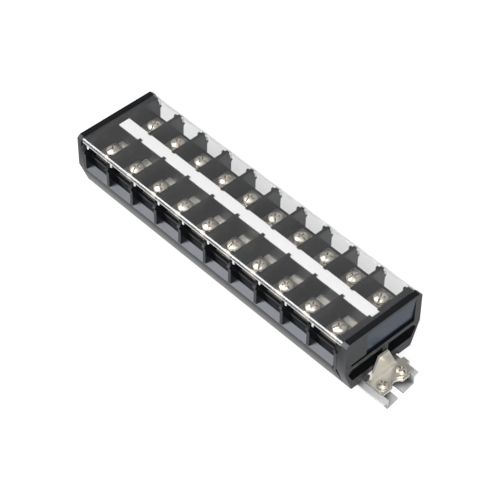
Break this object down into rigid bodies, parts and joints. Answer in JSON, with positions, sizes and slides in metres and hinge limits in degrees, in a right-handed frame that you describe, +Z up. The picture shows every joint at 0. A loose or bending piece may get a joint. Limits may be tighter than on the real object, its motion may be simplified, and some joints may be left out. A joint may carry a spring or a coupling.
{
  "type": "barrier terminal strip",
  "caption": "Double-sided barrier terminal strip on a top-hat mounting rail, with a clear cover, a white marker strip and a metal end stop.",
  "frame": {"origin": "centre of the whole strip's footprint, on the underside of the rail's web", "axes": "+X along the strip towards the end stop, +Y towards the rear wires, +Z up out of the terminals"},
  "size_m": [0.2726, 0.069, 0.057],
  "materials": {
    "housing": "semi-gloss moulded",
    "cover": "clear",
    "marker": "satin",
    "terminal": "nickel plated",
    "screw": "nickel plated",
    "bracket": "bright plated",
    "rail": "satin"
  },
  "bodies": {
    "strip": {"din_rail": "rail", "end_plate_left": "housing", "end_plate_right": "housing", "terminal_bars": "terminal", "marker_strip": "marker", "end_stop_bracket": "bracket", "end_stop_clamp_plate": "bracket", "module_01": "housing", "module_02": "housing", "module_03": "housing", "module_04": "housing", "module_05": "housing", "module_06": "housing", "module_07": "housing", "module_08": "housing", "module_09": "housing", "module_10": "housing"},
    "cover": {"clear_cover": "cover"},
    "stop_screw_front": {"end_stop_screw_front": "screw"},
    "stop_screw_rear": {"end_stop_screw_rear": "screw"},
    "washer_front_01": {"washer_front_01": "terminal"},
    "screw_front_01": {"screw_front_01": "screw"},
    "washer_front_02": {"washer_front_02": "terminal"},
    "screw_front_02": {"screw_front_02": "screw"},
    "washer_front_03": {"washer_front_03": "terminal"},
    "screw_front_03": {"screw_front_03": "screw"},
    "washer_front_04": {"washer_front_04": "terminal"},
    "screw_front_04": {"screw_front_04": "screw"},
    "washer_front_05": {"washer_front_05": "terminal"},
    "screw_front_05": {"screw_front_05": "screw"},
    "washer_front_06": {"washer_front_06": "terminal"},
    "screw_front_06": {"screw_front_06": "screw"},
    "washer_front_07": {"washer_front_07": "terminal"},
    "screw_front_07": {"screw_front_07": "screw"},
    "washer_front_08": {"washer_front_08": "terminal"},
    "screw_front_08": {"screw_front_08": "screw"},
    "washer_front_09": {"washer_front_09": "terminal"},
    "screw_front_09": {"screw_front_09": "screw"},
    "washer_front_10": {"washer_front_10": "terminal"},
    "screw_front_10": {"screw_front_10": "screw"},
    "washer_rear_01": {"washer_rear_01": "terminal"},
    "screw_rear_01": {"screw_rear_01": "screw"},
    "washer_rear_02": {"washer_rear_02": "terminal"},
    "screw_rear_02": {"screw_rear_02": "screw"},
    "washer_rear_03": {"washer_rear_03": "terminal"},
    "screw_rear_03": {"screw_rear_03": "screw"},
    "washer_rear_04": {"washer_rear_04": "terminal"},
    "screw_rear_04": {"screw_rear_04": "screw"},
    "washer_rear_05": {"washer_rear_05": "terminal"},
    "screw_rear_05": {"screw_rear_05": "screw"},
    "washer_rear_06": {"washer_rear_06": "terminal"},
    "screw_rear_06": {"screw_rear_06": "screw"},
    "washer_rear_07": {"washer_rear_07": "terminal"},
    "screw_rear_07": {"screw_rear_07": "screw"},
    "washer_rear_08": {"washer_rear_08": "terminal"},
    "screw_rear_08": {"screw_rear_08": "screw"},
    "washer_rear_09": {"washer_rear_09": "terminal"},
    "screw_rear_09": {"screw_rear_09": "screw"},
    "washer_rear_10": {"washer_rear_10": "terminal"},
    "screw_rear_10": {"screw_rear_10": "screw"}
  },
  "joints": [
    {"name": "cover_lift", "type": "slide", "parent": "strip", "child": "cover", "axis": [0, 0, 1], "range_m": [0, 0.03]},
    {"name": "stop_turn_front", "type": "hinge", "parent": "strip", "child": "stop_screw_front", "pos_m": [0.1256, -0.0078, 0.009], "axis": [0, 0, 1], "range_deg": [0, 1080]},
    {"name": "stop_turn_rear", "type": "hinge", "parent": "strip", "child": "stop_screw_rear", "pos_m": [0.1256, 0.009, 0.009], "axis": [0, 0, 1], "range_deg": [0, 1080]},
    {"name": "lift_front_01", "type": "slide", "parent": "strip", "child": "washer_front_01", "axis": [0, 0, 1], "range_m": [0, 0.0056]},
    {"name": "turn_front_01", "type": "hinge", "parent": "washer_front_01", "child": "screw_front_01", "pos_m": [-0.11575, -0.0181, 0.0441], "axis": [0, 0, 1], "range_deg": [0, 2530]},
    {"name": "lift_front_02", "type": "slide", "parent": "strip", "child": "washer_front_02", "axis": [0, 0, 1], "range_m": [0, 0.0056]},
    {"name": "turn_front_02", "type": "hinge", "parent": "washer_front_02", "child": "screw_front_02", "pos_m": [-0.09225, -0.0181, 0.0441], "axis": [0, 0, 1], "range_deg": [0, 2530]},
    {"name": "lift_front_03", "type": "slide", "parent": "strip", "child": "washer_front_03", "axis": [0, 0, 1], "range_m": [0, 0.0056]},
    {"name": "turn_front_03", "type": "hinge", "parent": "washer_front_03", "child": "screw_front_03", "pos_m": [-0.06875, -0.0181, 0.0441], "axis": [0, 0, 1], "range_deg": [0, 2530]},
    {"name": "lift_front_04", "type": "slide", "parent": "strip", "child": "washer_front_04", "axis": [0, 0, 1], "range_m": [0, 0.0056]},
    {"name": "turn_front_04", "type": "hinge", "parent": "washer_front_04", "child": "screw_front_04", "pos_m": [-0.04525, -0.0181, 0.0441], "axis": [0, 0, 1], "range_deg": [0, 2530]},
    {"name": "lift_front_05", "type": "slide", "parent": "strip", "child": "washer_front_05", "axis": [0, 0, 1], "range_m": [0, 0.0056]},
    {"name": "turn_front_05", "type": "hinge", "parent": "washer_front_05", "child": "screw_front_05", "pos_m": [-0.02175, -0.0181, 0.0441], "axis": [0, 0, 1], "range_deg": [0, 2530]},
    {"name": "lift_front_06", "type": "slide", "parent": "strip", "child": "washer_front_06", "axis": [0, 0, 1], "range_m": [0, 0.0056]},
    {"name": "turn_front_06", "type": "hinge", "parent": "washer_front_06", "child": "screw_front_06", "pos_m": [0.00175, -0.0181, 0.0441], "axis": [0, 0, 1], "range_deg": [0, 2530]},
    {"name": "lift_front_07", "type": "slide", "parent": "strip", "child": "washer_front_07", "axis": [0, 0, 1], "range_m": [0, 0.0056]},
    {"name": "turn_front_07", "type": "hinge", "parent": "washer_front_07", "child": "screw_front_07", "pos_m": [0.02525, -0.0181, 0.0441], "axis": [0, 0, 1], "range_deg": [0, 2530]},
    {"name": "lift_front_08", "type": "slide", "parent": "strip", "child": "washer_front_08", "axis": [0, 0, 1], "range_m": [0, 0.0056]},
    {"name": "turn_front_08", "type": "hinge", "parent": "washer_front_08", "child": "screw_front_08", "pos_m": [0.04875, -0.0181, 0.0441], "axis": [0, 0, 1], "range_deg": [0, 2530]},
    {"name": "lift_front_09", "type": "slide", "parent": "strip", "child": "washer_front_09", "axis": [0, 0, 1], "range_m": [0, 0.0056]},
    {"name": "turn_front_09", "type": "hinge", "parent": "washer_front_09", "child": "screw_front_09", "pos_m": [0.07225, -0.0181, 0.0441], "axis": [0, 0, 1], "range_deg": [0, 2530]},
    {"name": "lift_front_10", "type": "slide", "parent": "strip", "child": "washer_front_10", "axis": [0, 0, 1], "range_m": [0, 0.0056]},
    {"name": "turn_front_10", "type": "hinge", "parent": "washer_front_10", "child": "screw_front_10", "pos_m": [0.09575, -0.0181, 0.0441], "axis": [0, 0, 1], "range_deg": [0, 2530]},
    {"name": "lift_rear_01", "type": "slide", "parent": "strip", "child": "washer_rear_01", "axis": [0, 0, 1], "range_m": [0, 0.0056]},
    {"name": "turn_rear_01", "type": "hinge", "parent": "washer_rear_01", "child": "screw_rear_01", "pos_m": [-0.11575, 0.0181, 0.0441], "axis": [0, 0, 1], "range_deg": [0, 2530]},
    {"name": "lift_rear_02", "type": "slide", "parent": "strip", "child": "washer_rear_02", "axis": [0, 0, 1], "range_m": [0, 0.0056]},
    {"name": "turn_rear_02", "type": "hinge", "parent": "washer_rear_02", "child": "screw_rear_02", "pos_m": [-0.09225, 0.0181, 0.0441], "axis": [0, 0, 1], "range_deg": [0, 2530]},
    {"name": "lift_rear_03", "type": "slide", "parent": "strip", "child": "washer_rear_03", "axis": [0, 0, 1], "range_m": [0, 0.0056]},
    {"name": "turn_rear_03", "type": "hinge", "parent": "washer_rear_03", "child": "screw_rear_03", "pos_m": [-0.06875, 0.0181, 0.0441], "axis": [0, 0, 1], "range_deg": [0, 2530]},
    {"name": "lift_rear_04", "type": "slide", "parent": "strip", "child": "washer_rear_04", "axis": [0, 0, 1], "range_m": [0, 0.0056]},
    {"name": "turn_rear_04", "type": "hinge", "parent": "washer_rear_04", "child": "screw_rear_04", "pos_m": [-0.04525, 0.0181, 0.0441], "axis": [0, 0, 1], "range_deg": [0, 2530]},
    {"name": "lift_rear_05", "type": "slide", "parent": "strip", "child": "washer_rear_05", "axis": [0, 0, 1], "range_m": [0, 0.0056]},
    {"name": "turn_rear_05", "type": "hinge", "parent": "washer_rear_05", "child": "screw_rear_05", "pos_m": [-0.02175, 0.0181, 0.0441], "axis": [0, 0, 1], "range_deg": [0, 2530]},
    {"name": "lift_rear_06", "type": "slide", "parent": "strip", "child": "washer_rear_06", "axis": [0, 0, 1], "range_m": [0, 0.0056]},
    {"name": "turn_rear_06", "type": "hinge", "parent": "washer_rear_06", "child": "screw_rear_06", "pos_m": [0.00175, 0.0181, 0.0441], "axis": [0, 0, 1], "range_deg": [0, 2530]},
    {"name": "lift_rear_07", "type": "slide", "parent": "strip", "child": "washer_rear_07", "axis": [0, 0, 1], "range_m": [0, 0.0056]},
    {"name": "turn_rear_07", "type": "hinge", "parent": "washer_rear_07", "child": "screw_rear_07", "pos_m": [0.02525, 0.0181, 0.0441], "axis": [0, 0, 1], "range_deg": [0, 2530]},
    {"name": "lift_rear_08", "type": "slide", "parent": "strip", "child": "washer_rear_08", "axis": [0, 0, 1], "range_m": [0, 0.0056]},
    {"name": "turn_rear_08", "type": "hinge", "parent": "washer_rear_08", "child": "screw_rear_08", "pos_m": [0.04875, 0.0181, 0.0441], "axis": [0, 0, 1], "range_deg": [0, 2530]},
    {"name": "lift_rear_09", "type": "slide", "parent": "strip", "child": "washer_rear_09", "axis": [0, 0, 1], "range_m": [0, 0.0056]},
    {"name": "turn_rear_09", "type": "hinge", "parent": "washer_rear_09", "child": "screw_rear_09", "pos_m": [0.07225, 0.0181, 0.0441], "axis": [0, 0, 1], "range_deg": [0, 2530]},
    {"name": "lift_rear_10", "type": "slide", "parent": "strip", "child": "washer_rear_10", "axis": [0, 0, 1], "range_m": [0, 0.0056]},
    {"name": "turn_rear_10", "type": "hinge", "parent": "washer_rear_10", "child": "screw_rear_10", "pos_m": [0.09575, 0.0181, 0.0441], "axis": [0, 0, 1], "range_deg": [0, 2530]}
  ],
  "couplings": [
    {"joint": "turn_front_01", "follows": "lift_front_01", "rad_per_m": 7854},
    {"joint": "turn_front_02", "follows": "lift_front_02", "rad_per_m": 7854},
    {"joint": "turn_front_03", "follows": "lift_front_03", "rad_per_m": 7854},
    {"joint": "turn_front_04", "follows": "lift_front_04", "rad_per_m": 7854},
    {"joint": "turn_front_05", "follows": "lift_front_05", "rad_per_m": 7854},
    {"joint": "turn_front_06", "follows": "lift_front_06", "rad_per_m": 7854},
    {"joint": "turn_front_07", "follows": "lift_front_07", "rad_per_m": 7854},
    {"joint": "turn_front_08", "follows": "lift_front_08", "rad_per_m": 7854},
    {"joint": "turn_front_09", "follows": "lift_front_09", "rad_per_m": 7854},
    {"joint": "turn_front_10", "follows": "lift_front_10", "rad_per_m": 7854},
    {"joint": "turn_rear_01", "follows": "lift_rear_01", "rad_per_m": 7854},
    {"joint": "turn_rear_02", "follows": "lift_rear_02", "rad_per_m": 7854},
    {"joint": "turn_rear_03", "follows": "lift_rear_03", "rad_per_m": 7854},
    {"joint": "turn_rear_04", "follows": "lift_rear_04", "rad_per_m": 7854},
    {"joint": "turn_rear_05", "follows": "lift_rear_05", "rad_per_m": 7854},
    {"joint": "turn_rear_06", "follows": "lift_rear_06", "rad_per_m": 7854},
    {"joint": "turn_rear_07", "follows": "lift_rear_07", "rad_per_m": 7854},
    {"joint": "turn_rear_08", "follows": "lift_rear_08", "rad_per_m": 7854},
    {"joint": "turn_rear_09", "follows": "lift_rear_09", "rad_per_m": 7854},
    {"joint": "turn_rear_10", "follows": "lift_rear_10", "rad_per_m": 7854}
  ]
}
